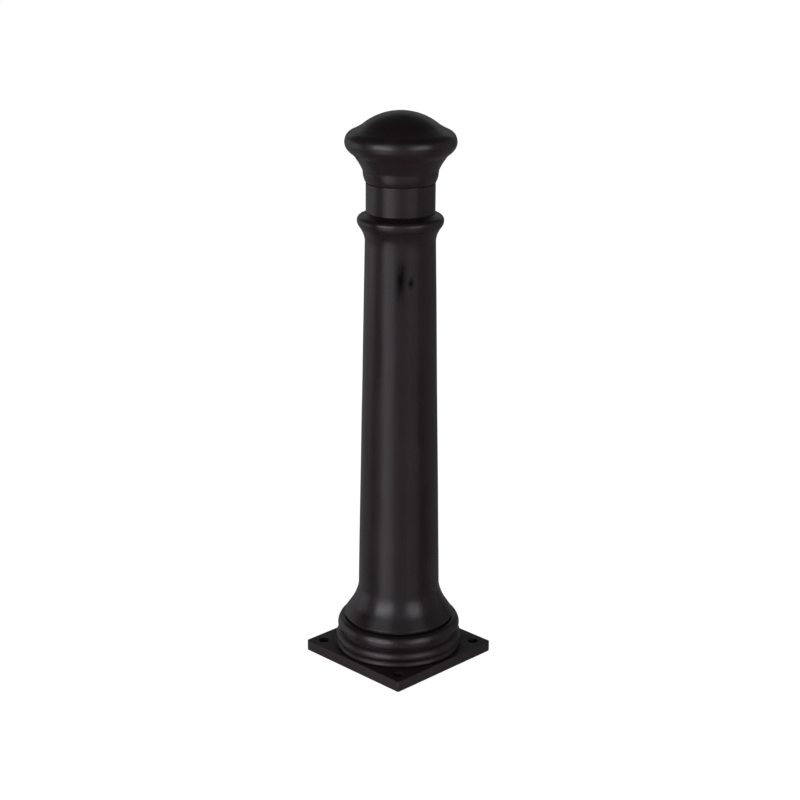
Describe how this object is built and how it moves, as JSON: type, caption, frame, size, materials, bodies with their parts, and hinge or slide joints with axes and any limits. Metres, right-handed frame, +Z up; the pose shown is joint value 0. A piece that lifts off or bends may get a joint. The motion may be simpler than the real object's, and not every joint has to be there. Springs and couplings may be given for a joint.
{
  "type": "column bollard",
  "caption": "Black column bollard on a square bolt-down plate: domed cap, neck ring, tapered shaft and ringed foot over a steel core.",
  "frame": {"origin": "centre of the base plate's underside, on the column's axis", "axes": "+Z up along the column's axis, +X and +Y square to the plate's sides"},
  "size_m": [0.24, 0.24, 1],
  "materials": {
    "black_casting": "satin black paint over the castings' faint surface texture",
    "black_plate": "satin black paint on flat steel plate, a little duller than the castings",
    "gasket_rubber": "matt black rubber",
    "galvanised_steel": "hot-dip galvanised, dull with spangle",
    "weld_metal": "rippled fillet weld, galvanised over",
    "zinc_plating": "bright zinc plating",
    "stainless_steel": "plain stainless steel"
  },
  "bodies": {
    "post": {"base_plate": "black_plate", "base_moulding": "black_casting", "column_casing": "black_casting", "neck_ring": "black_casting", "neck_sleeve": "black_casting", "base_gasket": "gasket_rubber", "column_gasket": "gasket_rubber", "cap_gasket": "gasket_rubber", "core_tube": "galvanised_steel", "core_foot_weld": "weld_metal", "gusset_1": "galvanised_steel", "gusset_2": "galvanised_steel", "gusset_3": "galvanised_steel", "gusset_4": "galvanised_steel", "lower_centring_ring": "galvanised_steel", "upper_centring_ring": "galvanised_steel", "core_top_plate": "galvanised_steel", "core_top_weld": "weld_metal", "clamp_stud": "zinc_plating", "clamp_plate": "galvanised_steel", "clamp_washer": "zinc_plating", "clamp_nut": "zinc_plating", "lock_nut": "zinc_plating"},
    "cap": {"cap": "black_casting", "cap_grub_screw_1": "stainless_steel", "cap_grub_screw_2": "stainless_steel"}
  },
  "joints": [
    {"name": "cap_lift", "type": "slide", "parent": "post", "child": "cap", "axis": [0, 0, 1], "range_m": [0, 0.15]}
  ]
}
